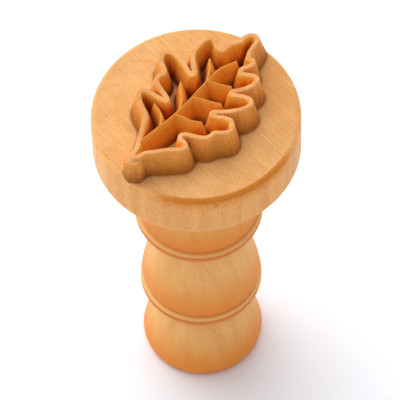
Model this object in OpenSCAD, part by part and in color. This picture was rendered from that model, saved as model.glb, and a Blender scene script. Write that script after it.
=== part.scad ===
// Turned wooden cookie stamp with a carved oak leaf, standing on the foot of its handle.
// The frame's origin is the centre of the foot, +Z runs up the turning axis to the stamping face,
// and +Y runs along the leaf's midrib from its stem to its tip. All sizes are millimetres.

/* [Stamp head] */
// Diameter of the round stamp head
head_d = 38; // [38:0.5:46]
// Height of the head from its underside to the flat stamping face
head_h = 9.9; // [8:0.1:14]
// How far the rounded shoulder round the stamping face reaches inward
shoulder_w = 0.9; // [0.4:0.1:1.4]
// How far that rounded shoulder reaches down the head's side
shoulder_h = 1.2; // [0.4:0.1:1.6]
// Radius of the small round on the head's lower edge
head_edge_r = 0.4; // [0.2:0.1:1]

/* [Handle] */
// Diameter of the foot at its widest
foot_d = 23.2; // [22:0.2:28]
// Diameter of the flat face that the stamp stands on
foot_flat_d = 20.8; // [16:0.2:22]
// Height of the foot's widest line above the flat face
foot_edge_h = 2; // [0.8:0.1:4]
// Height of the flared grip between the foot's widest line and the lower ring
foot_bell_h = 17; // [12:0.1:22]
// Height of the middle flared grip
middle_bell_h = 21.1; // [14:0.1:26]
// Height of the top flared grip, up to the head
top_bell_h = 19.8; // [14:0.1:26]
// Diameter of the two upper flared grips at their widest
bell_d = 22.6; // [18:0.2:23]
// Diameter of the necks below the rings and below the head
neck_d = 16; // [13:0.2:17.6]
// Height of the lower turn-in of each upper grip, where it meets its ring
bell_tuck_h = 1.6; // [1:0.1:4]
// How far that turn-in goes inward
bell_tuck = 0.35; // [0.1:0.05:0.8]
// Diameter of the two turned rings
ring_d = 23.4; // [23:0.2:26]
// Height of each turned ring
ring_h = 2.1; // [1.4:0.1:5]
// Radius of the rounds on the rings' edges
ring_edge_r = 0.3; // [0.1:0.05:0.5]

/* [Joint of handle and head] */
// Diameter of the round tenon on top of the handle
tenon_d = 10; // [6:0.5:12]
// Length of that tenon
tenon_l = 5.6; // [4:0.1:5.8]
// Room for glue round the tenon and past its end
glue_gap = 0.1; // [0.05:0.05:0.3]

/* [Oak leaf] */
// How much shorter the leaf is than the head is wide, over the middle of the leaf's border
leaf_clearance = 4.3; // [4.1:0.1:10]
// Height of the border and the veins above the stamping face
relief_h = 5.9; // [3:0.1:8]
// Width of the border's flat top
border_w = 0.8; // [0.5:0.05:1.2]
// Width of the midrib's sharp top
midrib_w = 0.18; // [0.1:0.02:0.6]
// Width of the side veins' sharp tops
vein_w = 0.16; // [0.1:0.02:0.6]
// Slope of the border's walls away from the vertical, in degrees
draft = 10.5; // [5:0.5:14]
// Slope of the midrib's and the veins' flanks away from the vertical, in degrees
vein_draft = 12.5; // [5:0.5:14]
// How far the leaf's stem and tip run down over the head's rounded shoulder
leaf_skirt = 0.8; // [0.4:0.1:1]
// Width of the stem's blunt end where it meets the face
stem_end_w = 3.9; // [3:0.1:4]
// Width of the leaf's tip where it meets the face
tip_end_w = 3.9; // [3:0.1:4]

/* [Hidden] */
$fn = 96;

maple = [0.87, 0.62, 0.38];
end_grain = [0.91, 0.69, 0.45];

// How far the socket's cutter starts below the head
cut_past = 1;

// Levels along the turning axis, from the foot up
neck_1_z = foot_edge_h + foot_bell_h;
ring_1_z = neck_1_z + ring_h;
neck_2_z = ring_1_z + middle_bell_h;
ring_2_z = neck_2_z + ring_h;
head_z = ring_2_z + top_bell_h;
face_z = head_z + head_h;

// Powers of the curves that flare from a neck down to a grip's widest line
foot_flare = 1.05;
bell_flare = 1.1;
// Straight pieces in each flared curve and each small round
bell_steps = 14;
edge_steps = 5;
// Radius of the hollow round where a neck runs into the ring or head above it
neck_cove_r = 0.6;
// Flat top of a ring outside the grip that rises from it, and the hollow round between the two
ledge_w = ring_d / 2 - ring_edge_r - (bell_d / 2 - bell_tuck);
ledge_cove_r = 0.6 * ledge_w;

// Points of a curve that flares up from radius r0 at z0, left out, to radius r1 at z1
function flare(r0, z0, r1, z1, power) = [
    for (i = [1 : bell_steps])
        let (t = i / bell_steps) [r0 - (r0 - r1) * pow(t, power), z0 + (z1 - z0) * t]
];

// Points of a quarter ellipse about [r, z] from angle a0, or one step past it, to angle a1
function quarter(r, z, rx, rz, a0, a1, first = 0) = [
    for (i = [first : edge_steps])
        let (a = a0 + (a1 - a0) * i / edge_steps) [r + rx * cos(a), z + rz * sin(a)]
];

// Neck from the top of a flare out to the flat underside above it, with a hollow round
function neck_top(z) = quarter(
    neck_d / 2 + neck_cove_r, z - neck_cove_r, neck_cove_r, neck_cove_r, 180, 90, first = 1
);

// Outer face of a ring that stands on the neck below it
function ring_side(z) = concat(
    quarter(ring_d / 2 - ring_edge_r, z + ring_edge_r, ring_edge_r, ring_edge_r, -90, 0),
    quarter(ring_d / 2 - ring_edge_r, z + ring_h - ring_edge_r, ring_edge_r, ring_edge_r, 0, 90)
);

// Hollow round on a ring, the turned-in foot of an upper grip, then its flare up to the neck
function upper_bell(z, h) = concat(
    quarter(
        bell_d / 2 - bell_tuck + ledge_cove_r, z + ledge_cove_r, ledge_cove_r, ledge_cove_r, -90, -180
    ),
    quarter(
        bell_d / 2 - bell_tuck, z + bell_tuck_h, bell_tuck, bell_tuck_h - ledge_cove_r, -90, 0,
        first = 1
    ),
    flare(bell_d / 2, z + bell_tuck_h, neck_d / 2, z + h - neck_cove_r, bell_flare),
    neck_top(z + h)
);

// Half outline of the handle, from the middle of its foot to the middle of its tenon
handle_outline = concat(
    [[0, 0]],
    quarter(foot_flat_d / 2, foot_edge_h, (foot_d - foot_flat_d) / 2, foot_edge_h, -90, 0),
    flare(foot_d / 2, foot_edge_h, neck_d / 2, neck_1_z - neck_cove_r, foot_flare),
    neck_top(neck_1_z),
    ring_side(neck_1_z),
    upper_bell(ring_1_z, middle_bell_h),
    ring_side(neck_2_z),
    upper_bell(ring_2_z, top_bell_h),
    [[tenon_d / 2, head_z], [tenon_d / 2, head_z + tenon_l], [0, head_z + tenon_l]]
);

// Half outline of the head, without its socket
head_outline = concat(
    [[0, head_z]],
    quarter(head_d / 2 - head_edge_r, head_z + head_edge_r, head_edge_r, head_edge_r, -90, 0),
    quarter(head_d / 2 - shoulder_w, face_z - shoulder_h, shoulder_w, shoulder_h, 0, 90),
    [[0, face_z]]
);

// Length of the leaf along its midrib, over the middle of its border, and as its points are drawn
leaf_l = head_d - leaf_clearance;
leaf_drawn_l = 33.7;
leaf_scale = leaf_l / leaf_drawn_l;

// Middle of the border's top, from the stem up the left side to the tip and down the right
border_points = [
    [1.6, -17], [1.1, -16.5], [0.7, -15.2], [-0.1, -13.9], [-1.1, -12.4],
    [-2.2, -10.6], [-3.3, -9.1], [-4.7, -8.5], [-6.3, -7.8], [-7.4, -6.9],
    [-7.5, -6], [-6.8, -5.4], [-5.2, -5.1], [-3.5, -4.8], [-2.8, -4.5],
    [-3.1, -4], [-4.8, -3.5], [-6.4, -3.1], [-7.5, -2.4], [-7.6, -1.5],
    [-7.4, -0.7], [-8, 0.1], [-9.5, 0.8], [-10.4, 1.7], [-10.5, 2.8],
    [-9.7, 3.5], [-8.3, 3.7], [-6.3, 3.3], [-4.3, 2.7], [-3.4, 2.8],
    [-3.8, 3.6], [-5.1, 4.6], [-6.7, 6], [-7.3, 7.8], [-7.4, 9.5],
    [-6.9, 10.7], [-5.8, 10.8], [-4.4, 10.2], [-3.5, 10.4], [-3.5, 11.4],
    [-3.2, 12.7], [-2.6, 13.9], [-2.6, 15.2], [-2.2, 16.2], [-1.3, 16.7],
    [-0.5, 16.1], [0, 14.3], [0.6, 12.9], [1.3, 12.5], [2.2, 12.5],
    [2.5, 11.7], [2.1, 10.6], [1.9, 9.6], [2.5, 9.1], [3.5, 9.7],
    [4.8, 10.4], [5.6, 10], [5.7, 8.6], [5.1, 6.8], [4.3, 5.5],
    [4.2, 4.8], [4.9, 4.9], [6.4, 5.9], [7.8, 6.2], [8.4, 5.5],
    [8.2, 4.1], [7.2, 2.4], [6, 0.9], [4.9, -0.2], [5, -0.8],
    [6.1, -0.5], [7.3, 0.3], [8.4, 0.6], [9.5, -0.1], [9.9, -1.1],
    [9.1, -2.3], [8.2, -3.3], [8.1, -4.5], [7.5, -5.4], [6.1, -6.3],
    [4.9, -7], [4.3, -7.8], [4.8, -8.4], [6, -8.5], [6.7, -9.1],
    [6.3, -10.1], [4.9, -11.6], [3.6, -13.5], [2.5, -15], [2.2, -16.3]
];

// Sharp tops of the midrib and the side veins, each from its root to its end
midrib_points = [
    [0.1, -13.8], [0.2, -9.6], [0.3, -5.8], [0, -2],
    [-0.5, 1.9], [-0.9, 4.8], [-1, 7.1], [-0.5, 8.8],
    [0, 10.3]
];
right_lower_points = [[0.3, -5.4], [1.8, -4.8], [3.4, -4.3], [4.9, -3.3]];
right_middle_points = [[-0.1, -0.8], [1.2, 0.2], [2.8, 0.9], [4.6, 1.9]];
right_upper_points = [[-0.8, 3.7], [1, 4.5], [2.4, 5.3], [3.2, 5.8]];
left_lower_points = [[0.1, -8.8], [-1, -7.4], [-2.4, -6.7], [-3.9, -6.4]];
left_middle_points = [[0.1, -3.7], [-1.5, -1.9], [-2.7, -0.8], [-3.9, 0.2]];
left_upper_points = [[-0.8, 3.7], [-1.5, 4.9], [-2.7, 6.4], [-3.8, 7.4]];

// Middles of the stem's blunt end and of the tip
stem_end = [1.5, -16.8];
tip_end = [-1.3, 16.7];
// Width of the blunt end's top, and how far it stays below the border's top
stem_end_top_w = 2.2;
stem_end_drop = 0.7;

// Steps per span of the smooth curves through those points, and sides of the border's cones
curve_steps = 2;
cone_sides = 16;

// Full height of the carved walls, with the part that is sunk below the face, and their feet's spread
wall_depth = relief_h + leaf_skirt;
wall_spread = wall_depth * tan(draft);
vein_spread = wall_depth * tan(vein_draft);
// Last section of a vein's free end: how far its top runs on, and its foot's run and half width in
// shares of that spread
end_top_run = 0.12;
end_run = 0.95;
end_foot = 0.45;

// Point at t on the curve span from b to c, between its neighbours a and d
function span_point(a, b, c, d, t) =
    0.5 * (2 * b + (c - a) * t + (2 * a - 5 * b + 4 * c - d) * t * t + (3 * b - a - 3 * c + d) * t * t * t);

// Smooth closed curve through all the points
function closed_curve(p) = let (n = len(p)) [
    for (i = [0 : n - 1], k = [0 : curve_steps - 1])
        span_point(p[(i + n - 1) % n], p[i], p[(i + 1) % n], p[(i + 2) % n], k / curve_steps)
];

// Smooth open curve through all the points, with its last point
function open_curve(p) = let (n = len(p)) concat([
    for (i = [0 : n - 2], k = [0 : curve_steps - 1])
        span_point(p[max(i - 1, 0)], p[i], p[i + 1], p[min(i + 2, n - 1)], k / curve_steps)
], [p[n - 1]]);

// Cone under one point of the border's top, from below the face up to the relief's height
module border_cone(p) {
    translate([leaf_scale * p[0], leaf_scale * p[1], face_z - leaf_skirt])
        cylinder(h = wall_depth, r1 = border_w / 2 + wall_spread, r2 = border_w / 2, $fn = cone_sides);
}

// Thicker end of the leaf, tapering from its width at the face to its top
module end_cone(p, top_w, foot_w, drop) {
    h = relief_h - drop;
    slope = (foot_w - top_w) / h;
    translate([leaf_scale * p[0], leaf_scale * p[1], face_z - leaf_skirt])
        cylinder(h = h + leaf_skirt, d1 = foot_w + slope * leaf_skirt, d2 = top_w, $fn = cone_sides);
}

// Flat-topped wall with sloping sides along the border's closed curve, with its two thicker ends
module border_ridge() {
    points = closed_curve(border_points);
    count = len(points);
    for (i = [0 : count - 1]) {
        hull() {
            border_cone(points[i]);
            border_cone(points[(i + 1) % count]);
        }
    }
    end_cone(stem_end, stem_end_top_w, stem_end_w, stem_end_drop);
    end_cone(tip_end, border_w, tip_end_w, 0);
}

// Corners of a vein's cross-section: left foot, left top, right top, right foot
function vein_section(top, foot, side, top_w, foot_w) = [
    [foot[0] + foot_w * side[0], foot[1] + foot_w * side[1], face_z - leaf_skirt],
    [top[0] + top_w / 2 * side[0], top[1] + top_w / 2 * side[1], face_z + relief_h],
    [top[0] - top_w / 2 * side[0], top[1] - top_w / 2 * side[1], face_z + relief_h],
    [foot[0] - foot_w * side[0], foot[1] - foot_w * side[1], face_z - leaf_skirt]
];

// Unit direction of a path at its point i
function along(p, i) =
    let (ahead = p[min(i + 1, len(p) - 1)] - p[max(i - 1, 0)]) ahead / norm(ahead);

// Unit direction to the left of a direction
function left_of(d) = [-d[1], d[0]];

// Sharp-topped vein lofted through its cross-sections, with a free end that slopes down all round
module vein_ridge(points, top_w) {
    path = leaf_scale * open_curve(points);
    tip = path[len(path) - 1];
    ahead = along(path, len(path) - 1);
    end_section = vein_section(
        tip + end_top_run * ahead, tip + end_run * vein_spread * ahead,
        left_of(ahead), top_w, top_w / 2 + end_foot * vein_spread
    );
    corners = concat([
        for (i = [0 : len(path) - 1])
            each vein_section(path[i], path[i], left_of(along(path, i)), top_w, top_w / 2 + vein_spread)
    ], end_section);
    last = len(path);
    sides = [
        for (i = [0 : last - 1], k = [0 : 3])
            let (a = 4 * i + k, b = 4 * i + (k + 1) % 4) each [[a, a + 4, b + 4], [a, b + 4, b]]
    ];
    ends = [[0, 1, 2, 3], [4 * last + 3, 4 * last + 2, 4 * last + 1, 4 * last]];
    polyhedron(corners, concat(ends, sides));
}

module midrib_ridge() {
    vein_ridge(midrib_points, midrib_w);
}

// Solid outside of the head, which the carved leaf stands on
module head_blank() {
    rotate_extrude() polygon(head_outline);
}

// One side vein, ending where its flanks run into the midrib, the border and the face
module side_vein(points) {
    color(end_grain) difference() {
        vein_ridge(points, vein_w);
        midrib_ridge();
        border_ridge();
        head_blank();
    }
}

// Turned grip of three flared lengths and two rings, with its flat foot and its tenon
module handle() {
    color(maple) rotate_extrude() polygon(handle_outline);
}

// Turned disc with the rounded shoulder and the blind socket for the handle's tenon
module stamp_head() {
    color(end_grain) difference() {
        head_blank();
        translate([0, 0, head_z - cut_past])
            cylinder(h = cut_past + tenon_l + glue_gap, d = tenon_d + 2 * glue_gap);
    }
}

// Carved outline of the oak leaf with its rounded lobes
module leaf_border() {
    color(end_grain) difference() {
        border_ridge();
        head_blank();
    }
}

// Main rib of the leaf, from the stem to the upper lobes
module leaf_midrib() {
    color(end_grain) difference() {
        midrib_ridge();
        border_ridge();
        head_blank();
    }
}

handle();
stamp_head();
leaf_border();
leaf_midrib();
side_vein(right_lower_points);  // vein_right_lower
side_vein(right_middle_points);  // vein_right_middle
side_vein(right_upper_points);  // vein_right_upper
side_vein(left_lower_points);  // vein_left_lower
side_vein(left_middle_points);  // vein_left_middle
side_vein(left_upper_points);  // vein_left_upper
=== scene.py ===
import math

import bpy
import numpy as np
from mathutils import Matrix, Vector


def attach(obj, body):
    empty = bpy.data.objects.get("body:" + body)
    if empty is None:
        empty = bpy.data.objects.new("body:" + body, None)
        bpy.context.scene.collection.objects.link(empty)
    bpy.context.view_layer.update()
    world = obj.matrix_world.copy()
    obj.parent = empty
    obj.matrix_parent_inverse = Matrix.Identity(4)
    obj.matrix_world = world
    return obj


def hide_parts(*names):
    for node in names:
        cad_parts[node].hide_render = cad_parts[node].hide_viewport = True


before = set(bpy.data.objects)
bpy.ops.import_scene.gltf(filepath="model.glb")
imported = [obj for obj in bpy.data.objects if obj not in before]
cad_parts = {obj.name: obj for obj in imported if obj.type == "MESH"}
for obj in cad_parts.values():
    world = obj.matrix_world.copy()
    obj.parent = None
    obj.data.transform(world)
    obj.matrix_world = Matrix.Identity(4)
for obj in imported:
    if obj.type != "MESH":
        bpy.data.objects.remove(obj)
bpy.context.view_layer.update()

# Sizes in millimetres, as in the part's source; MM turns them into metres
MM = 0.001
HEAD_D = 38.0
HEAD_H = 9.9
SHOULDER_W = 0.9
SHOULDER_H = 1.2
HEAD_EDGE_R = 0.4
FOOT_D = 23.0
FOOT_FLAT_D = 20.8
FOOT_EDGE_H = 2.1
FOOT_BELL_H = 16.9
MIDDLE_BELL_H = 21.1
TOP_BELL_H = 19.8
MIDDLE_BELL_D = 22.4
TOP_BELL_D = 22.9
NECK_D = 14.6
BELL_TUCK_H = 2.0
BELL_TUCK_TURN = 50.0
LOWER_RING_D = 23.1
UPPER_RING_D = 23.8
RING_H = 2.1
RING_EDGE_R = 0.6
LEDGE_W = 0.8
LEDGE_DROP = 0.6
NECK_COVE_R = 0.6
FOOT_FLARE = 1.15
BELL_FLARE = 1.12
TENON_D = 10.0
TENON_L = 5.6
GLUE_GAP = 0.1
RELIEF_H = 5.9
BORDER_W = 0.8
MIDRIB_W = 0.18
VEIN_W = 0.16
DRAFT = math.radians(10.5)
VEIN_DRAFT = math.radians(12.5)
LEAF_SKIRT = 0.8

NECK_1_Z = FOOT_EDGE_H + FOOT_BELL_H
RING_1_Z = NECK_1_Z + RING_H
NECK_2_Z = RING_1_Z + MIDDLE_BELL_H
RING_2_Z = NECK_2_Z + RING_H
HEAD_Z = RING_2_Z + TOP_BELL_H
FACE_Z = HEAD_Z + HEAD_H
TOP_Z = FACE_Z + RELIEF_H
WALL_DEPTH = RELIEF_H + LEAF_SKIRT
WALL_SPREAD = WALL_DEPTH * math.tan(DRAFT)
VEIN_SPREAD = WALL_DEPTH * math.tan(VEIN_DRAFT)

# The leaf's blunt stem end and its tip: middle, top width, width at the face, drop below the top
STEM_END = ((1.5, -16.8), 2.2, 3.9, 0.7)
TIP_END = ((-1.3, 16.7), 0.8, 3.9, 0.0)

# Middle of the border's top, from the stem up the left side to the tip and down the right
BORDER = [
    (1.6, -17), (1.1, -16.5), (0.7, -15.2), (-0.1, -13.9), (-1.1, -12.4),
    (-2.2, -10.6), (-3.3, -9.1), (-4.7, -8.5), (-6.3, -7.8), (-7.4, -6.9),
    (-7.5, -6), (-6.8, -5.4), (-5.2, -5.1), (-3.5, -4.8), (-2.8, -4.5),
    (-3.1, -4), (-4.8, -3.5), (-6.4, -3.1), (-7.5, -2.4), (-7.6, -1.5),
    (-7.4, -0.7), (-8, 0.1), (-9.5, 0.8), (-10.4, 1.7), (-10.5, 2.8),
    (-9.7, 3.5), (-8.3, 3.7), (-6.3, 3.3), (-4.3, 2.7), (-3.4, 2.8),
    (-3.8, 3.6), (-5.1, 4.6), (-6.7, 6), (-7.3, 7.8), (-7.4, 9.5),
    (-6.9, 10.7), (-5.8, 10.8), (-4.4, 10.2), (-3.5, 10.4), (-3.5, 11.4),
    (-3.2, 12.7), (-2.6, 13.9), (-2.6, 15.2), (-2.2, 16.2), (-1.3, 16.7),
    (-0.5, 16.1), (0, 14.3), (0.6, 12.9), (1.3, 12.5), (2.2, 12.5),
    (2.5, 11.7), (2.1, 10.6), (1.9, 9.6), (2.5, 9.1), (3.5, 9.7),
    (4.8, 10.4), (5.6, 10), (5.7, 8.6), (5.1, 6.8), (4.3, 5.5),
    (4.2, 4.8), (4.9, 4.9), (6.4, 5.9), (7.8, 6.2), (8.4, 5.5),
    (8.2, 4.1), (7.2, 2.4), (6, 0.9), (4.9, -0.2), (5, -0.8),
    (6.1, -0.5), (7.3, 0.3), (8.4, 0.6), (9.5, -0.1), (9.9, -1.1),
    (9.1, -2.3), (8.2, -3.3), (8.1, -4.5), (7.5, -5.4), (6.1, -6.3),
    (4.9, -7), (4.3, -7.8), (4.8, -8.4), (6, -8.5), (6.7, -9.1),
    (6.3, -10.1), (4.9, -11.6), (3.6, -13.5), (2.5, -15), (2.2, -16.3),
]
MIDRIB = [
    (0.1, -13.8), (0.2, -9.6), (0.3, -5.8), (0, -2), (-0.5, 1.9),
    (-0.9, 4.8), (-1, 7.1), (-0.5, 8.8), (0, 10.3),
]
VEINS = {
    "vein_right_lower": [(0.3, -5.4), (1.8, -4.8), (3.4, -4.3), (4.9, -3.3)],
    "vein_right_middle": [(-0.1, -0.8), (1.2, 0.2), (2.8, 0.9), (4.6, 1.9)],
    "vein_right_upper": [(-0.8, 3.7), (1, 4.5), (2.4, 5.3), (3.2, 5.8)],
    "vein_left_lower": [(0.1, -8.8), (-1, -7.4), (-2.4, -6.7), (-3.9, -6.4)],
    "vein_left_middle": [(0.1, -3.7), (-1.5, -1.9), (-2.7, -0.8), (-3.9, 0.2)],
    "vein_left_upper": [(-0.8, 3.7), (-1.5, 4.9), (-2.7, 6.4), (-3.8, 7.4)],
}

# Turn from the photograph's right and away directions to the part's X and Y
PART_TURN = math.radians(47.0)


# Camera

def make_camera():
    """Long-lens camera at the photograph's viewing angle, placed from the middle of the face."""
    distance, height = 402.65, 595.79
    yaw, pitch, roll = 0.00058, 0.99815, 0.0326
    forward = np.array([
        math.sin(yaw) * math.cos(pitch), math.cos(yaw) * math.cos(pitch), -math.sin(pitch),
    ])
    right = np.array([math.cos(yaw), -math.sin(yaw), 0.0])
    down = np.cross(forward, right)
    rolled_right = math.cos(roll) * right + math.sin(roll) * down
    rolled_down = -math.sin(roll) * right + math.cos(roll) * down
    turn = Matrix.Rotation(PART_TURN, 3, "Z")
    axes = [turn @ Vector(v) for v in (rolled_right, -rolled_down, -forward)]
    data = bpy.data.cameras.new("camera")
    data.sensor_width = 36.0
    data.lens = 360.0
    data.clip_start, data.clip_end = 0.05, 20.0
    camera = bpy.data.objects.new("camera", data)
    matrix = Matrix(axes).transposed().to_4x4()
    matrix.translation = turn @ Vector((0.0, -distance * MM, (height + FACE_Z) * MM))
    camera.matrix_world = matrix
    bpy.context.scene.collection.objects.link(camera)
    bpy.context.scene.camera = camera


make_camera()


# Curves and noise

def span(points, i, t, closed):
    """Point at t on the smooth span that starts at point i."""
    n = len(points)
    if closed:
        a, b, c, d = (points[(i + k) % n] for k in (-1, 0, 1, 2))
    else:
        a, b, c, d = (points[min(max(i + k, 0), n - 1)] for k in (-1, 0, 1, 2))
    return 0.5 * (
        2 * b + (c - a) * t + (2 * a - 5 * b + 4 * c - d) * t * t
        + (3 * b - a - 3 * c + d) * t ** 3
    )


def smooth_path(points, steps, closed=False):
    """Dense points of the smooth curve through a few points."""
    p = [np.array(q, float) for q in points]
    spans = len(p) if closed else len(p) - 1
    path = [span(p, i, k / steps, closed) for i in range(spans) for k in range(steps)]
    if not closed:
        path.append(p[-1])
    return np.array(path)


def lattice_noise(p, size, seed):
    """Smooth value noise between -1 and 1 at points p (n, dims), with cells of the given size."""
    p = np.asarray(p, float) / size
    cell = np.floor(p).astype(np.int64)
    t = p - cell
    t = t * t * (3 - 2 * t)
    dims = p.shape[1]
    total = np.zeros(len(p))
    for corner in range(2 ** dims):
        weight = np.ones(len(p))
        key = np.full(len(p), seed * 7919 + 17, np.int64)
        for axis in range(dims):
            bit = (corner >> axis) & 1
            weight *= t[:, axis] if bit else 1 - t[:, axis]
            key = (key * 1103515 + (cell[:, axis] + bit) * (7368787 + 2 * axis)) & 0x7FFFFFFF
            key = (key ^ (key >> 13)) * 1274126177 & 0x7FFFFFFF
        total += weight * (((key ^ (key >> 11)) & 0xFFFF) / 32767.5 - 1)
    return total


# Mesh helpers

def add_piece(name, vertices, faces, material, slot_name, node, sharp_angle=None, inner=None):
    """Links a smooth mesh given in millimetres as a piece that rides on the body, for its node."""
    mesh = bpy.data.meshes.new(name)
    mesh.from_pydata((np.asarray(vertices) * MM).tolist(), [], faces)
    mesh.validate()
    mesh.update()
    mesh.shade_smooth()
    if sharp_angle is not None:
        mesh.set_sharp_from_angle(angle=math.radians(sharp_angle))
    if inner is not None:
        attribute = mesh.attributes.new("inner", "FLOAT", "POINT")
        attribute.data.foreach_set("value", np.asarray(inner, np.float32))
    mesh.materials.append(material)
    piece = bpy.data.objects.new(name, mesh)
    bpy.context.scene.collection.objects.link(piece)
    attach(piece, "root")
    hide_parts(node)
    return piece


def quarter(r, z, rx, rz, a0, a1, steps=8):
    """Profile points of a quarter ellipse about (r, z), angles in degrees."""
    angles = np.radians(np.linspace(a0, a1, steps + 1))
    return [(r + rx * math.cos(a), z + rz * math.sin(a)) for a in angles]


def flare(r0, z0, r1, z1, power, steps=40):
    """Profile points of a grip from its widest line at z0, left out, up to its neck at z1."""
    return [(r0 - (r0 - r1) * t ** power, z0 + (z1 - z0) * t) for t in np.arange(1, steps + 1) / steps]


def line(r0, z0, r1, z1, steps):
    """Profile points of a straight stretch, without its end."""
    return [
        (r0 + (r1 - r0) * t, z0 + (z1 - z0) * t) for t in np.linspace(0, 1, steps, endpoint=False)
    ]


def lathe(profile, segments):
    """Vertices and faces of a closed solid turned from a profile that starts and ends on the axis."""
    rings = profile[1:-1]
    angles = np.linspace(0, 2 * math.pi, segments, endpoint=False)
    vertices = [(0.0, 0.0, profile[0][1])]
    for r, z in rings:
        vertices += [(r * math.cos(a), r * math.sin(a), z) for a in angles]
    vertices.append((0.0, 0.0, profile[-1][1]))
    faces = []
    for s in range(segments):
        n = (s + 1) % segments
        faces.append((0, 1 + n, 1 + s))
        for k in range(len(rings) - 1):
            a, b = 1 + k * segments, 1 + (k + 1) * segments
            faces.append((a + s, a + n, b + n, b + s))
        last = 1 + (len(rings) - 1) * segments
        faces.append((len(vertices) - 1, last + s, last + n))
    return np.array(vertices), faces


# Materials

class Nodes:
    """Short calls for building a material's node tree."""

    def __init__(self, name):
        self.material = bpy.data.materials.new(name)
        self.material.use_nodes = True
        self.tree = self.material.node_tree
        self.tree.nodes.clear()

    def add(self, kind, inputs=None, **settings):
        node = self.tree.nodes.new(kind)
        for key, value in settings.items():
            setattr(node, key, value)
        for key, value in (inputs or {}).items():
            self.feed(node.inputs[key], value)
        return node

    def feed(self, socket, value):
        if isinstance(value, bpy.types.NodeSocket):
            self.tree.links.new(value, socket)
        else:
            socket.default_value = value

    def math(self, operation, a, b=0.0, c=None):
        node = self.add("ShaderNodeMath", operation=operation)
        self.feed(node.inputs[0], a)
        self.feed(node.inputs[1], b)
        if c is not None:
            self.feed(node.inputs[2], c)
        return node.outputs[0]

    def times(self, *values):
        product = values[0]
        for value in values[1:]:
            product = self.math("MULTIPLY", product, value)
        return product

    def ramp(self, value, low, high, to_low=0.0, to_high=1.0, smooth=True):
        node = self.add(
            "ShaderNodeMapRange", interpolation_type="SMOOTHSTEP" if smooth else "LINEAR",
        )
        self.feed(node.inputs["Value"], value)
        for key, number in zip(("From Min", "From Max", "To Min", "To Max"),
                               (low, high, to_low, to_high)):
            node.inputs[key].default_value = number
        return node.outputs["Result"]

    def hill(self, value, start, top_start, top_end, end):
        """1 between top_start and top_end, falling to 0 at start and end."""
        return self.times(self.ramp(value, start, top_start), self.ramp(value, end, top_end))

    def mix(self, factor, a, b, blend="MIX"):
        node = self.add("ShaderNodeMix", data_type="RGBA", blend_type=blend)
        self.feed(node.inputs["Factor"], factor)
        self.feed(node.inputs["A"], a)
        self.feed(node.inputs["B"], b)
        return node.outputs["Result"]

    def noise(self, vector, scale, detail=2.0, rough=0.5, distortion=0.0):
        node = self.add("ShaderNodeTexNoise", {
            "Vector": vector, "Scale": scale, "Detail": detail,
            "Roughness": rough, "Distortion": distortion,
        })
        return node.outputs["Fac"]

    def turned(self, vector, angle, lengths):
        """Coordinates along axes turned about Z, each divided by its length."""
        node = self.add("ShaderNodeMapping", {
            "Vector": vector, "Rotation": (0, 0, angle), "Scale": lengths,
        }, vector_type="TEXTURE")
        return node.outputs["Vector"]

    def stretched(self, vector, scale, move=(0, 0, 0)):
        node = self.add("ShaderNodeMapping", {"Vector": vector, "Scale": scale, "Location": move})
        return node.outputs["Vector"]


def srgb(r, g, b):
    """Linear colour of an sRGB colour given from 0 to 255."""
    def one(c):
        c /= 255
        return c / 12.92 if c <= 0.04045 else ((c + 0.055) / 1.055) ** 2.4
    return (one(r), one(g), one(b), 1.0)


# Middle of the tree that the piece was cut from, and the width of its yearly rings
PITH = (24.0, -37.0)
YEAR_RING_W = 2.9
# Direction of the sanding marks on the face, about Z
SANDED_WAY = PART_TURN - math.radians(50.0)


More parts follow.
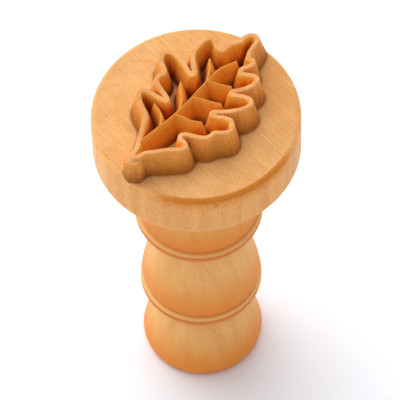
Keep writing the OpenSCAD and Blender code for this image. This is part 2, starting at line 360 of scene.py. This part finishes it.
class Maple(Nodes):
    """Maple whose fibres run along Z: fine fibres on its sides, fine speckle on its end grain."""

    def __init__(self, name, side, end, fuzz=1.0, grain=1.0, late_wood=0.2):
        super().__init__(name)
        self.fuzz = fuzz
        self.grain = grain
        where = self.add("ShaderNodeTexCoord").outputs["Object"]
        self.place = self.stretched(where, (1 / MM, 1 / MM, 1 / MM))
        axes = self.add("ShaderNodeSeparateXYZ", {"Vector": self.place})
        self.x, self.y, self.z = (axes.outputs[k] for k in "XYZ")
        normal = self.add("ShaderNodeSeparateXYZ", {
            "Vector": self.add("ShaderNodeNewGeometry").outputs["Normal"],
        })
        self.end_part = self.find_end_part(normal.outputs["Z"])
        self.fibres = self.noise(self.stretched(self.place, (1, 1, 1 / 9)), 4.6, 3.0, 0.62)
        self.speckle = self.noise(self.stretched(self.place, (1, 1, 0.6)), 5.2, 2.0, 0.7)
        self.colour = self.mix(self.end_part, self.side_colour(side), self.end_colour(end))
        self.colour = self.mix(self.times(self.year_lines(), late_wood), self.colour, srgb(206, 122, 54))

    def find_end_part(self, normal_z):
        """1 on end grain, which faces along Z, and 0 on the sides."""
        return self.ramp(self.math("ABSOLUTE", normal_z), 0.55, 0.93)

    def side_colour(self, tones):
        streaks = self.noise(self.stretched(self.place, (1, 1, 1 / 36)), 0.42, 3.0, 0.55, 0.3)
        colour = self.mix(self.ramp(streaks, 0.36, 0.66), *tones)
        dark = self.ramp(self.fibres, 0.50, 0.74, 0.0, 0.14 * self.grain)
        light = self.ramp(self.fibres, 0.48, 0.28, 0.0, 0.16 * self.grain)
        colour = self.mix(dark, colour, srgb(196, 112, 44))
        colour = self.mix(light, colour, srgb(255, 210, 146))
        rough = self.fuzz
        dark = self.ramp(self.speckle, 0.50, 0.66, 0.0, 0.30 * rough)
        light = self.ramp(self.speckle, 0.48, 0.34, 0.0, 0.34 * rough)
        colour = self.mix(dark, colour, srgb(200, 108, 44))
        return self.mix(light, colour, srgb(255, 220, 164))

    def end_colour(self, tones):
        cloud = self.noise(self.stretched(self.place, (1, 1, 0.2)), 0.24, 3.0, 0.55)
        colour = self.mix(self.ramp(cloud, 0.36, 0.64), *tones)
        colour = self.mix(self.ramp(self.speckle, 0.50, 0.66, 0.0, 0.36), colour, srgb(186, 110, 48))
        return self.mix(self.ramp(self.speckle, 0.48, 0.33, 0.0, 0.44), colour, srgb(255, 222, 164))

    def year_lines(self):
        """Darker late wood at the edge of each yearly ring round the pith."""
        bend = self.noise(self.stretched(self.place, (1, 1, 1 / 30)), 0.10, 2.0)
        dx = self.math("SUBTRACT", self.x, PITH[0])
        dy = self.math("SUBTRACT", self.y, PITH[1])
        radius = self.math("SQRT", self.math("ADD", self.times(dx, dx), self.times(dy, dy)))
        turns = self.math("DIVIDE", self.math("MULTIPLY_ADD", bend, 7.0, radius), YEAR_RING_W)
        phase = self.math("FRACT", turns)
        strength = self.noise(self.stretched(self.place, (1, 1, 1 / 20)), 0.12, 1.0)
        return self.times(self.hill(phase, 0.45, 0.93, 0.96, 1.0), self.ramp(strength, 0.35, 0.65))

    def tint(self, factor, colour):
        self.colour = self.mix(factor, self.colour, colour)

    def shade_in_hollows(self, reach, open_part, closed_part):
        """1 deep in creases and hollows, 0 on open surfaces, looking as far as reach: a mask for
        painting shade.
        """
        node = self.add("ShaderNodeAmbientOcclusion", {"Distance": reach * MM}, samples=8)
        return self.ramp(node.outputs["AO"], open_part, closed_part)

    def finish(self, bump_strength=0.3, dull=0.62, duller=0.78, gloss=0.15, sheen=0.3):
        height = self.math("ADD", self.times(self.fibres, 0.5), self.times(self.speckle, 0.5))
        bump = self.add("ShaderNodeBump", {
            "Strength": bump_strength, "Distance": 0.05 * MM, "Height": height,
        })
        shader = self.add("ShaderNodeBsdfPrincipled", {
            "Base Color": self.colour,
            "Roughness": self.ramp(self.speckle, 0.2, 0.8, dull, duller, smooth=False),
            "Normal": bump.outputs["Normal"],
            "Specular IOR Level": gloss,
            "Sheen Weight": sheen,
            "Sheen Roughness": 0.3,
        })
        self.add("ShaderNodeOutputMaterial", {"Surface": shader.outputs["BSDF"]})
        return self.material


class LeafMaple(Maple):
    """Maple of the carved leaf, where the knife-thin veins show no pale end grain."""

    def find_end_part(self, normal_z):
        self.inner = self.add("ShaderNodeAttribute", attribute_name="inner").outputs["Fac"]
        self.flat = super().find_end_part(normal_z)
        return self.times(self.flat, self.ramp(self.inner, 1.0, 0.85))

    def carved_fibres(self, wall):
        """Upright fibres that the knife leaves on the walls."""
        fibres = self.noise(self.stretched(self.place, (1, 1, 0.09)), 2.8, 3.0, 0.65)
        dark = self.times(self.ramp(fibres, 0.44, 0.70, 0.0, 0.4), wall)
        self.colour = self.mix(dark, self.colour, srgb(214, 176, 130), "MULTIPLY")


def handle_maple():
    """Oiled grips that deepen to orange towards each ring and the foot, in painted shade with some oil
    darkening, with dark ring sides that are painted shade and oil, painted shade at the bells' bottoms
    and on the necks under the rings, and a painted highlight on each ring's top.
    """
    m = Maple("handle_wood", (srgb(251, 194, 118), srgb(246, 182, 102)),
              (srgb(238, 182, 122), srgb(230, 170, 108)), 0.8, late_wood=0.12)
    ragged = m.math("MULTIPLY_ADD", m.noise(m.stretched(m.place, (1, 1, 0.3)), 0.5, 3.0), 3.0, m.z)
    for low, deep_to, pale_from in ((-2.0, 3.0, 13.5), (RING_1_Z, 23.5, 35.0), (RING_2_Z, 46.5, 57.0)):
        # Painted shade with some oil darkening: each grip deepens to orange towards its lower part, just
        # over each ring and the foot.
        deep = m.times(m.ramp(m.z, low, low + 0.15), m.ramp(ragged, pale_from, deep_to))
        # Painted shade on the tucked-in bottom of each bell, where it faces down.
        bell_bottom_shade = m.times(m.ramp(m.z, low, low + 0.15), m.ramp(m.z, low + 3.2, low + 0.8))
        m.tint(m.times(deep, 0.85), srgb(238, 138, 34))
        m.tint(m.times(bell_bottom_shade, 0.4), srgb(214, 106, 10))
    for low in (NECK_1_Z, NECK_2_Z):
        # Painted shadow on each neck just under its ring.
        shadow_under_ring = m.times(m.ramp(m.z, low - 7.0, low - 4.0), m.ramp(m.z, low + 0.3, low + 0.1))
        m.tint(m.times(shadow_under_ring, 0.25), srgb(230, 138, 44))
        # Dark ring side: painted shade with some oil darkening.
        side = m.hill(m.z, low - 0.9, low + 0.1, low + RING_H - 0.6, low + RING_H - 0.3)
        m.tint(m.times(side, 0.85), srgb(214, 112, 10))
        # Painted highlight on each ring's rounded top edge.
        ledge_highlight = m.hill(m.z, low + RING_H - 0.55, low + RING_H - 0.25, low + RING_H - 0.02,
                       low + RING_H + 0.06)
        m.tint(m.times(ledge_highlight, 0.85), srgb(255, 198, 122))
    return m.finish(0.3, 0.44, 0.56, 0.22, 0.06)


def head_maple():
    """Turned head with a torn, darker shoulder on its near side, a pale lower edge that is partly wear
    and partly a painted highlight, painted shade towards one side of the face, and painted shade in the
    creases on the face.
    """
    m = Maple("head_wood", (srgb(248, 183, 110), srgb(237, 166, 94)),
              (srgb(228, 174, 112), srgb(220, 162, 98)), 1.1, 1.2, 0.12)
    # Painted shade: the end grain of the face grows darker and yellower towards one side, standing in
    # for light that falls unevenly.
    shaded_side_at = PART_TURN + math.radians(40.0)
    towards_shaded_side = m.math("ADD", m.times(m.x, math.cos(shaded_side_at)), m.times(m.y, math.sin(shaded_side_at)))
    m.tint(m.times(m.ramp(towards_shaded_side, 4.0, 17.0), m.end_part, 0.45), srgb(210, 140, 72))
    sanded = m.noise(m.turned(m.place, SANDED_WAY, (14, 0.5, 1)), 1.0, 2.0, 0.6)
    m.tint(m.times(m.ramp(sanded, 0.56, 0.74), m.end_part, 0.35), srgb(196, 122, 58))
    m.tint(m.times(m.ramp(sanded, 0.44, 0.28), m.end_part, 0.3), srgb(250, 206, 146))
    radius = m.math("SQRT", m.math("ADD", m.times(m.x, m.x), m.times(m.y, m.y)))
    torn_at = PART_TURN - math.radians(71.0)
    reach = m.math("DIVIDE", m.math("ADD", m.times(m.x, math.cos(torn_at)),
                                    m.times(m.y, math.sin(torn_at))), radius)
    near = m.ramp(reach, 0.66, 0.88)
    tufts = m.noise(m.stretched(m.place, (1, 1, 0.3)), 1.9, 4.0, 0.75)
    level = m.math("MULTIPLY_ADD", m.math("SUBTRACT", tufts, 0.5), 4.0, m.z)
    outside = m.ramp(radius, HEAD_D / 2 - SHOULDER_W - 0.02, HEAD_D / 2 - SHOULDER_W + 0.08)
    faded = m.ramp(level, FACE_Z - 3.9, FACE_Z - 1.0)
    m.tint(m.times(faded, outside, near, 0.7), srgb(228, 140, 46))
    ragged = m.noise(m.stretched(m.place, (1, 1, 0.6)), 3.2, 4.0, 0.75)
    core = m.ramp(m.math("MULTIPLY_ADD", m.math("SUBTRACT", ragged, 0.5), 2.4, m.z),
                  FACE_Z - 1.3, FACE_Z - 0.5)
    clumps = m.noise(m.stretched(m.place, (1, 1, 0.35)), 2.6, 3.0, 0.7)
    m.tint(m.times(core, outside, near, m.ramp(clumps, 0.30, 0.54, 0.35, 0.8)), srgb(200, 116, 28))
    pits = m.ramp(m.noise(m.stretched(m.place, (1, 1, 1.4)), 1.3, 2.0, 0.6), 0.62, 0.68)
    low_edge = m.hill(m.z, FACE_Z - 2.6, FACE_Z - 1.9, FACE_Z - 1.1, FACE_Z - 0.8)
    m.tint(m.times(pits, low_edge, m.ramp(reach, 0.3, 0.8), 0.7), srgb(170, 96, 34))
    # Pale lower edge: a painted highlight on the lower arris, with some pale worn fibres.
    edge = m.ramp(m.z, HEAD_Z + 0.6, HEAD_Z + 0.25)
    m.tint(m.times(edge, 0.4), srgb(255, 212, 166))
    # Painted shade in the creases on the face, round the foot of the leaf.
    m.tint(m.times(m.shade_in_hollows(1.0, 0.9, 0.45), m.end_part, 0.8), srgb(110, 52, 14))
    return m.finish()


def leaf_maple():
    """Carved walls with painted shade that deepens to orange towards the face, painted light near their
    tops, painted bounce light in a brighter orange on the inner walls and painted shade in the pockets,
    under pale end grain tops.
    """
    m = LeafMaple("leaf_wood", (srgb(240, 158, 64), srgb(226, 142, 50)),
                  (srgb(230, 166, 108), srgb(216, 146, 86)), 0.8, 2.0)
    height = m.math("SUBTRACT", m.z, FACE_Z)
    wall = m.math("SUBTRACT", 1.0, m.end_part)
    inside = m.ramp(m.inner, 0.55, 0.95)
    outer = m.math("SUBTRACT", wall, inside)
    # Painted shade: the outer walls darken towards their foot on the face.
    m.tint(m.times(m.ramp(height, 4.8, -0.4), outer, 0.85), srgb(160, 90, 22))
    # Painted light near the tops of the outer walls.
    m.tint(m.times(m.ramp(height, RELIEF_H - 1.8, RELIEF_H - 0.1), outer, 0.5), srgb(246, 174, 98))
    # Painted bounce light: the inner walls are a brighter, deeper orange than the outer ones.
    m.tint(m.times(inside, wall, 0.7), srgb(255, 172, 54))
    # Painted light near the tops of the inner walls.
    m.tint(m.times(m.ramp(height, RELIEF_H - 3.2, RELIEF_H), inside, wall, 0.6), srgb(255, 194, 90))
    # Painted shade towards the foot of the inner walls.
    m.tint(m.times(m.ramp(height, 3.0, -0.6), inside, wall, 0.85), srgb(138, 58, 8))
    # Painted shade in the hollows and pockets between the walls.
    m.tint(m.times(m.shade_in_hollows(3.0, 0.36, 0.06), wall, 0.35), srgb(104, 34, 4))
    shade = m.times(m.shade_in_hollows(3.0, 0.45, 0.12), wall, 0.85)
    m.colour = m.mix(shade, m.colour, srgb(206, 124, 66), "MULTIPLY")
    m.carved_fibres(wall)
    m.tint(m.times(m.flat, m.ramp(m.inner, 0.9, 1.0), 0.7), srgb(200, 116, 38))
    return m.finish(0.4, sheen=0.04)


handle_wood = handle_maple()
head_wood = head_maple()
leaf_wood = leaf_maple()


# Turned handle

def neck_top(z):
    return quarter(
        NECK_D / 2 + NECK_COVE_R, z - NECK_COVE_R, NECK_COVE_R, NECK_COVE_R, 180, 90,
    )[1:]


def ring_side(z, ring_d):
    r = ring_d / 2
    return (
        quarter(r - RING_EDGE_R, z + RING_EDGE_R, RING_EDGE_R, RING_EDGE_R, -90, 0, 6)
        + line(r, z + RING_EDGE_R + 0.2, r, z + RING_H - LEDGE_DROP, 2)
        + quarter(r - LEDGE_W, z + RING_H - LEDGE_DROP, LEDGE_W, LEDGE_DROP, 0, 90, 10)
    )


def upper_bell(z, height, bell_d, ring_d):
    tuck = math.radians(BELL_TUCK_TURN)
    wide = (bell_d / 2 - ring_d / 2 + LEDGE_W + 0.05) / (1 - math.cos(tuck))
    return (
        quarter(bell_d / 2 - wide, z + BELL_TUCK_H, wide, BELL_TUCK_H / math.sin(tuck),
                -BELL_TUCK_TURN, 0)
        + flare(bell_d / 2, z + BELL_TUCK_H, NECK_D / 2, z + height - NECK_COVE_R, BELL_FLARE)
        + neck_top(z + height)
    )


handle_profile = (
    [(0, 0)]
    + line(1.0, 0, FOOT_FLAT_D / 2, 0, 8)
    + quarter(FOOT_FLAT_D / 2, FOOT_EDGE_H, (FOOT_D - FOOT_FLAT_D) / 2, FOOT_EDGE_H, -90, 0)
    + flare(FOOT_D / 2, FOOT_EDGE_H, NECK_D / 2, NECK_1_Z - NECK_COVE_R, FOOT_FLARE)
    + neck_top(NECK_1_Z)
    + ring_side(NECK_1_Z, LOWER_RING_D)
    + upper_bell(RING_1_Z, MIDDLE_BELL_H, MIDDLE_BELL_D, LOWER_RING_D)
    + ring_side(NECK_2_Z, UPPER_RING_D)
    + upper_bell(RING_2_Z, TOP_BELL_H, TOP_BELL_D, UPPER_RING_D)
    + [(TENON_D / 2, HEAD_Z), (TENON_D / 2, HEAD_Z + TENON_L), (0, HEAD_Z + TENON_L)]
)
add_piece("handle_turned", *lathe(handle_profile, 192), handle_wood, "handle_wood", "handle",
          sharp_angle=35)


# Turned head

def head_profile():
    side_r, face_r = HEAD_D / 2, HEAD_D / 2 - SHOULDER_W
    return (
        [(0, HEAD_Z + TENON_L + GLUE_GAP), (TENON_D / 2 + GLUE_GAP, HEAD_Z + TENON_L + GLUE_GAP)]
        + [(TENON_D / 2 + GLUE_GAP, HEAD_Z)]
        + line(TENON_D / 2 + 1, HEAD_Z, side_r - HEAD_EDGE_R, HEAD_Z, 6)
        + quarter(side_r - HEAD_EDGE_R, HEAD_Z + HEAD_EDGE_R, HEAD_EDGE_R, HEAD_EDGE_R, -90, 0, 5)
        + line(side_r, HEAD_Z + HEAD_EDGE_R + 0.3, side_r, FACE_Z - SHOULDER_H, 40)
        + quarter(face_r, FACE_Z - SHOULDER_H, SHOULDER_W, SHOULDER_H, 0, 90, 14)
        + line(face_r - 0.15, FACE_Z, face_r - 1.5, FACE_Z, 9)
        + line(face_r - 1.5, FACE_Z, 1.0, FACE_Z, 14)
        + [(1.0, FACE_Z), (0, FACE_Z)]
    )


def torn_shoulder(vertices):
    """Sinks small torn pits into the shoulder on its near side."""
    v = vertices.copy()
    radius = np.hypot(v[:, 0], v[:, 1])
    safe = np.maximum(radius, 1e-6)
    near = (v[:, 0] * math.sin(PART_TURN) - v[:, 1] * math.cos(PART_TURN)) / safe
    near = np.clip((near - 0.2) / 0.5, 0, 1)
    depth = FACE_Z - v[:, 2]
    band = np.clip((radius - HEAD_D / 2 + 1.6) / 0.8, 0, 1) * np.clip((2.2 - depth) / 1.0, 0, 1)
    pits = np.clip(lattice_noise(v, 0.42, 51) - 0.1, 0, 1) + 0.5 * lattice_noise(v, 0.9, 52)
    sink = 0.06 * np.clip(pits, 0, 1) * band * near
    v[:, 0] -= v[:, 0] / safe * sink * 0.8
    v[:, 1] -= v[:, 1] / safe * sink * 0.8
    v[:, 2] -= sink * 0.6
    return v


head_vertices, head_faces = lathe(head_profile(), 540)
add_piece("head_turned", torn_shoulder(head_vertices), head_faces, head_wood, "head_wood",
          "stamp_head", sharp_angle=40)


# Carved leaf

GRID = 0.13


def path_distance(xy, path):
    """Distance of each point from a closed polyline, the way to it, the place along, the side."""
    ends = np.roll(path, -1, axis=0)
    lengths = np.linalg.norm(ends - path, axis=1)
    starts_at = np.concatenate([[0], np.cumsum(lengths)[:-1]])
    best = np.full(len(xy), 1e9)
    away = np.zeros_like(xy)
    along = np.zeros(len(xy))
    hand = np.ones(len(xy))
    for a, b, start, length in zip(path, ends, starts_at, lengths):
        near = np.nonzero(
            (xy[:, 0] > min(a[0], b[0]) - 3) & (xy[:, 0] < max(a[0], b[0]) + 3)
            & (xy[:, 1] > min(a[1], b[1]) - 3) & (xy[:, 1] < max(a[1], b[1]) + 3)
        )[0]
        p = xy[near]
        ab = b - a
        t = np.clip(((p - a) @ ab) / (ab @ ab), 0, 1)
        off = p - (a + t[:, None] * ab)
        d = np.hypot(off[:, 0], off[:, 1])
        closer = d < best[near]
        index = near[closer]
        best[index] = d[closer]
        away[index] = off[closer] / np.maximum(d[closer], 1e-9)[:, None]
        hand[index] = np.sign(ab[0] * off[closer, 1] - ab[1] * off[closer, 0])
        along[index] = start + t[closer] * length
    return best, away, along, hand


def end_cone_height(xy, middle, top_w, foot_w, drop):
    """Height of the leaf's thicker tip, a cone with a flat top."""
    slope = (foot_w - top_w) / 2 / (RELIEF_H - drop)
    r = np.hypot(xy[:, 0] - middle[0], xy[:, 1] - middle[1])
    return TOP_Z - drop - np.maximum(r - top_w / 2, 0) / slope


def stem_post_height(xy, middle, top_w, foot_w, drop):
    """Height of the leaf's blunt stem end, a post with a rounded top and steep sides."""
    r = np.hypot(xy[:, 0] - middle[0], xy[:, 1] - middle[1])
    out = np.clip((r - 0.25 * top_w) / (foot_w / 2 - 0.25 * top_w), 0, 2)
    dome = 1.5 * np.minimum(out, 1) ** 4
    side = np.maximum(out - 0.93, 0) / 0.07 * 3.0
    return TOP_Z - drop - dome - side


def border_height(xy, d, along, total):
    """Height of the carved border: a flat top, and walls with the knife's upright strokes."""
    strokes = along[:, None]
    by_stem = np.clip((along % 200.0 - total + 5.5) / 2.5, 0, 1)
    run = math.tan(DRAFT) * (1 - 0.5 * by_stem)
    flute = 0.07 * lattice_noise(strokes, 1.3, 3) + 0.04 * lattice_noise(strokes, 0.5, 4)
    flute += 0.018 * lattice_noise(xy, 0.5, 6)
    wall = np.clip((d - BORDER_W / 2) / 0.4, 0, 1)
    fall = np.maximum(d - BORDER_W / 2 + flute * wall, 0) / run
    top = (1 - wall) * (0.045 * lattice_noise(xy, 0.5, 5) - 0.045)
    return TOP_Z - fall + top


def carved_border():
    """Height field of the leaf's border, its edges drawn onto the path's offsets, as a closed solid."""
    path = smooth_path(BORDER, 5, closed=True)
    reach = BORDER_W / 2 + WALL_SPREAD
    spare = 0.6
    low, high = path.min(0) - reach - spare, path.max(0) + reach + spare
    nx, ny = (np.ceil((high - low) / GRID).astype(int) + 1)
    gx, gy = np.meshgrid(np.arange(nx), np.arange(ny), indexing="ij")
    xy = np.stack([low[0] + GRID * gx.ravel(), low[1] + GRID * gy.ravel()], 1)
    d, away, along, hand = path_distance(xy, path)
    for line_at in (BORDER_W / 2, reach):
        near = np.abs(d - line_at) < 0.5 * GRID
        xy[near] += (line_at - d[near])[:, None] * away[near]
        d[near] = line_at
    total = np.linalg.norm(np.roll(path, -1, axis=0) - path, axis=1).sum()
    z = border_height(xy, d, along + 200.0 * (hand > 0), total)
    ends = np.maximum(stem_post_height(xy, *STEM_END), end_cone_height(xy, *TIP_END))
    inside = ((d <= reach + 1e-6) | (ends > FACE_Z - LEAF_SKIRT)).reshape(nx, ny)
    z = np.maximum(np.maximum(z, ends), FACE_Z - LEAF_SKIRT)
    vertices, faces, used = solid_under(xy, z, inside, FACE_Z - LEAF_SKIRT - 0.05)
    inner = np.clip(0.5 - hand * d / BORDER_W, 0, 1)[used]
    return vertices, faces, np.concatenate([inner, inner])


def solid_under(xy, z, inside, bottom_z):
    """Closed solid between a height field's inside cells and a flat bottom."""
    nx, ny = inside.shape
    cells = inside[:-1, :-1] & inside[1:, :-1] & inside[:-1, 1:] & inside[1:, 1:]
    ci, cj = np.nonzero(cells)
    first = ci * ny + cj
    quads = np.stack([first, first + ny, first + ny + 1, first + 1], 1)
    used = np.unique(quads)
    number = np.full(nx * ny, -1)
    number[used] = np.arange(len(used))
    quads = number[quads].tolist()
    count = len(used)
    faces = [tuple(q) for q in quads]
    faces += [tuple(count + v for v in reversed(q)) for q in quads]
    rim = {}
    for q in quads:
        for a, b in zip(q, q[1:] + q[:1]):
            if (b, a) in rim:
                del rim[(b, a)]
            else:
                rim[(a, b)] = True
    faces += [(b, a, count + a, count + b) for a, b in rim]
    top = np.column_stack([xy[used], z[used]])
    bottom = np.column_stack([xy[used], np.full(count, bottom_z)])
    return np.vstack([top, bottom]), faces, used


def vein_path(points):
    """Dense path of a vein with its directions, and a fan of directions round its free end."""
    path = smooth_path(points, 12)
    ahead = np.gradient(path, axis=0)
    ahead /= np.linalg.norm(ahead, axis=1)[:, None]
    side = np.column_stack([-ahead[:, 1], ahead[:, 0]])
    turns = np.radians(np.arange(10, 90, 10))[:, None]
    tips = np.repeat(path[-1:], len(turns), axis=0)
    left = np.cos(turns) * side[-1] + np.sin(turns) * ahead[-1]
    right = -np.cos(turns) * side[-1] + np.sin(turns) * ahead[-1]
    return np.vstack([path, tips]), np.vstack([side, left]), np.vstack([-side, right])


def carved_vein(points, top_w, seed, wall_rows=18):
    """Knife-edged vein lofted through dense cross-sections, with a free end that slopes all round."""
    path, left, right = vein_path(points)
    travel = np.concatenate([[0], np.cumsum(np.linalg.norm(np.diff(path + left, axis=0), axis=1))])
    levels = np.linspace(0, 1, wall_rows + 1)
    rows = []
    for hand, side in ((1, left), (-1, right)):
        strokes = np.column_stack([travel, np.full(len(travel), hand * 5.0)])
        flute = 0.045 * lattice_noise(strokes, 0.6, seed)
        for level in levels[::-hand]:
            offset = top_w / 2 + level * VEIN_SPREAD + flute * min(1, 4 * level)
            spot = path + offset[:, None] * side
            z = np.full(len(path), TOP_Z - level * WALL_DEPTH)
            if level == 0:
                z += 0.03 * lattice_noise(path, 0.7, seed + 9) - 0.03
            rows.append(np.column_stack([spot, z]))
    ring = len(rows)
    last = (len(path) - 1) * ring
    faces = []
    for start in range(0, last, ring):
        for k in range(ring):
            a, b = start + k, start + (k + 1) % ring
            faces.append((b, b + ring, a + ring, a))
    faces.append(tuple(range(ring)))
    faces.append(tuple(last + k for k in reversed(range(ring))))
    return np.stack(rows, 1).reshape(-1, 3), faces


border_vertices, border_faces, border_inner = carved_border()
add_piece("leaf_border_carved", border_vertices, border_faces, leaf_wood, "leaf_wood",
          "leaf_border", inner=border_inner)
lines = {"leaf_midrib": (MIDRIB, MIDRIB_W)}
lines.update({node: (points, VEIN_W) for node, points in VEINS.items()})
for number, (node, (points, top_w)) in enumerate(lines.items()):
    vertices, faces = carved_vein(points, top_w, 21 + number)
    add_piece(node + "_carved", vertices, faces, leaf_wood, "leaf_wood", node, sharp_angle=50,
              inner=np.ones(len(vertices)))


# Floor and light

KEY_WAY = (-0.21, 0.38, 0.90)
LEFT_WAY = (-0.65, 0.6, 0.5)
SKY_EVEN = 0.12
SKY_LOW = 1.45
SKY_BRIGHTER = 2.3


def make_floor():
    """Plain white floor whose lit part shows as white, with the object's shadow on it."""
    mesh = bpy.data.meshes.new("floor")
    reach = 4.0
    mesh.from_pydata([(-reach, -reach, 0), (reach, -reach, 0), (reach, reach, 0), (-reach, reach, 0)],
                     [], [(0, 1, 2, 3)])
    n = Nodes("floor_white")
    seen = n.add("ShaderNodeLightPath").outputs["Is Camera Ray"]
    colour = n.mix(seen, (0.84, 0.83, 0.83, 1), (0.97, 1.0, 1.06, 1))
    diffuse = n.add("ShaderNodeBsdfDiffuse", {"Color": colour})
    n.add("ShaderNodeOutputMaterial", {"Surface": diffuse.outputs[0]})
    mesh.materials.append(n.material)
    floor = bpy.data.objects.new("floor", mesh)
    bpy.context.scene.collection.objects.link(floor)


def photo_direction(right, away, up):
    """A direction given as seen in the photograph (right, away from the camera, up) in the frame."""
    return Vector((
        right * math.cos(PART_TURN) - away * math.sin(PART_TURN),
        right * math.sin(PART_TURN) + away * math.cos(PART_TURN),
        up,
    ))


def add_area(name, direction, distance, size, watts, colour=(1, 1, 1)):
    data = bpy.data.lights.new(name, "AREA")
    data.shape = "DISK"
    data.size = size
    data.energy = watts
    data.color = colour
    lamp = bpy.data.objects.new(name, data)
    aim = Vector((0, 0, 0.04))
    way = photo_direction(*direction).normalized()
    lamp.location = aim + way * distance
    lamp.rotation_mode = "QUATERNION"
    lamp.rotation_quaternion = way.to_track_quat("Z", "Y")
    bpy.context.scene.collection.objects.link(lamp)


def make_light():
    """Soft studio sky, brighter behind the object on its left and low all round, and a key lamp."""
    world = bpy.data.worlds.new("studio")
    bpy.context.scene.world = world
    world.use_nodes = True
    tree = world.node_tree

    def step(operation, a, b):
        node = tree.nodes.new("ShaderNodeMath")
        node.operation = operation
        for socket, value in zip(node.inputs, (a, b)):
            if isinstance(value, bpy.types.NodeSocket):
                tree.links.new(value, socket)
            else:
                socket.default_value = value
        return node.outputs[0]

    where = tree.nodes.new("ShaderNodeTexCoord").outputs["Generated"]
    towards = tree.nodes.new("ShaderNodeVectorMath")
    towards.operation = "DOT_PRODUCT"
    towards.inputs[1].default_value = photo_direction(*KEY_WAY).normalized()
    tree.links.new(where, towards.inputs[0])
    axes = tree.nodes.new("ShaderNodeSeparateXYZ")
    tree.links.new(where, axes.inputs[0])
    facing = step("POWER", step("MAXIMUM", towards.outputs["Value"], 0.0), 4.0)
    upward = step("MAXIMUM", axes.outputs["Z"], 0.0)
    low = step("POWER", step("SUBTRACT", 1.0, upward), 3.0)
    glow = step("ADD", step("MULTIPLY", facing, SKY_BRIGHTER), step("MULTIPLY", low, SKY_LOW))
    background = tree.nodes["Background"]
    background.inputs["Color"].default_value = (1, 1, 1, 1)
    tree.links.new(step("ADD", glow, SKY_EVEN), background.inputs["Strength"])
    add_area("key", KEY_WAY, 1.2, 1.0, 3.5, (1, 0.99, 0.97))
    add_area("left", LEFT_WAY, 1.2, 0.8, 1.6)


make_floor()
make_light()
bpy.context.scene.view_settings.view_transform = "Standard"
